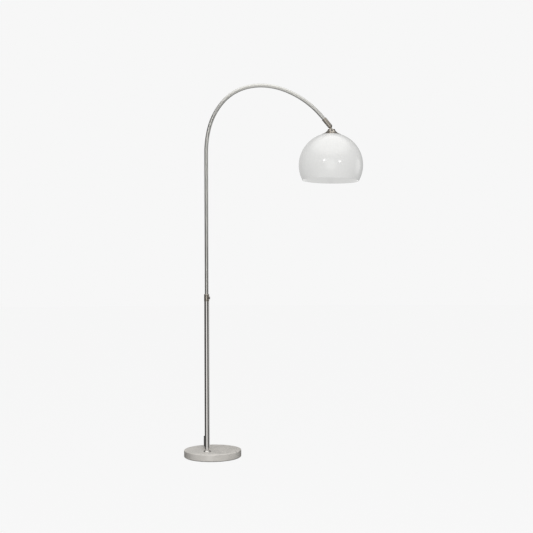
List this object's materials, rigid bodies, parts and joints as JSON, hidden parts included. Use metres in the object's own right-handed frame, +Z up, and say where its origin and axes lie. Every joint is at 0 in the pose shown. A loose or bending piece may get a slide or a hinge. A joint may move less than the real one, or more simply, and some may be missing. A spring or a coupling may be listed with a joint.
{
  "type": "arc floor lamp",
  "caption": "Arc floor lamp: round marble foot, polished pole, sliding and turning bent tube, and an open opal globe shade on a tilting joint.",
  "frame": {"origin": "centre of the round foot, on the underside of its felt", "axes": "+Z up along the pole, +X the way the arc reaches, +Y to the back, where the cord leaves"},
  "size_m": [0.941, 0.5057, 1.9521],
  "materials": {
    "marble": "polished, grey-veined white marble",
    "felt": "felt",
    "steel": "zinc plated",
    "chrome": "polished",
    "brushed_tube": "brushed nickel plate",
    "satin_nickel": "satin nickel plate",
    "nylon": "plain",
    "opal": "glossy opal white acrylic",
    "rubber": "matt",
    "porcelain": "glazed",
    "black_plastic": "fine satin texture",
    "cord_jacket": "smooth black sheath",
    "brass": "turned",
    "bulb_opal": "frosted"
  },
  "bodies": {
    "base": {"marble_base": "marble", "base_felt": "felt", "base_washer": "steel", "base_bolt": "steel", "lower_pole": "chrome", "pole_plug": "steel", "pole_foot_ring": "chrome", "cord_relief": "rubber", "pole_lead": "cord_jacket", "collar": "satin_nickel", "cord_lamp": "cord_jacket", "cord_feed": "cord_jacket", "cord_tail": "cord_jacket", "cord_coil": "cord_jacket", "cord_tie": "black_plastic", "switch_base": "black_plastic", "switch_cover": "black_plastic", "switch_relief_in": "rubber", "switch_relief_out": "rubber", "plug_body": "black_plastic", "plug_relief": "rubber", "plug_pin_upper": "steel", "plug_pin_lower": "steel"},
    "lock": {"locking_screw": "satin_nickel"},
    "swivel": {"collar_bush": "nylon"},
    "arm": {"arc_tube": "brushed_tube", "arc_lead": "cord_jacket", "guide_bush": "nylon", "end_sleeve": "satin_nickel", "knuckle_tongue": "satin_nickel"},
    "shade": {"shade_cap": "satin_nickel", "shade": "opal", "hinge_screw": "steel", "hinge_nut": "steel", "shade_gasket": "rubber", "shade_washer": "steel", "nipple_nut": "brass", "shade_nipple": "brass", "holder_cap": "black_plastic", "holder_body": "black_plastic", "holder_insert": "porcelain", "holder_contact": "brass", "bulb_cap": "brass", "bulb_globe": "bulb_opal"},
    "button": {"switch_button": "black_plastic"}
  },
  "joints": [
    {"name": "arm_swivel", "type": "hinge", "parent": "base", "child": "swivel", "pos_m": [-0.025, -0.066, 0.8], "axis": [0, 0, 1], "range_deg": [-175, 175]},
    {"name": "arm_height", "type": "slide", "parent": "swivel", "child": "arm", "axis": [0, 0, 1], "range_m": [-0.3, 0.05]},
    {"name": "shade_tilt", "type": "hinge", "parent": "arm", "child": "shade", "pos_m": [0.62855, -0.066, 1.70232], "axis": [0, 1, 0], "range_deg": [-40, 16]},
    {"name": "lock_turn", "type": "hinge", "parent": "base", "child": "lock", "pos_m": [-0.0115, -0.066, 0.8358], "axis": [1, 0, 0], "range_deg": [0, 360]},
    {"name": "button_press", "type": "slide", "parent": "base", "child": "button", "axis": [0, 0, -1], "range_m": [0, 0.0025], "stiffness_N_per_m": 800, "springref_m": -0.001}
  ]
}
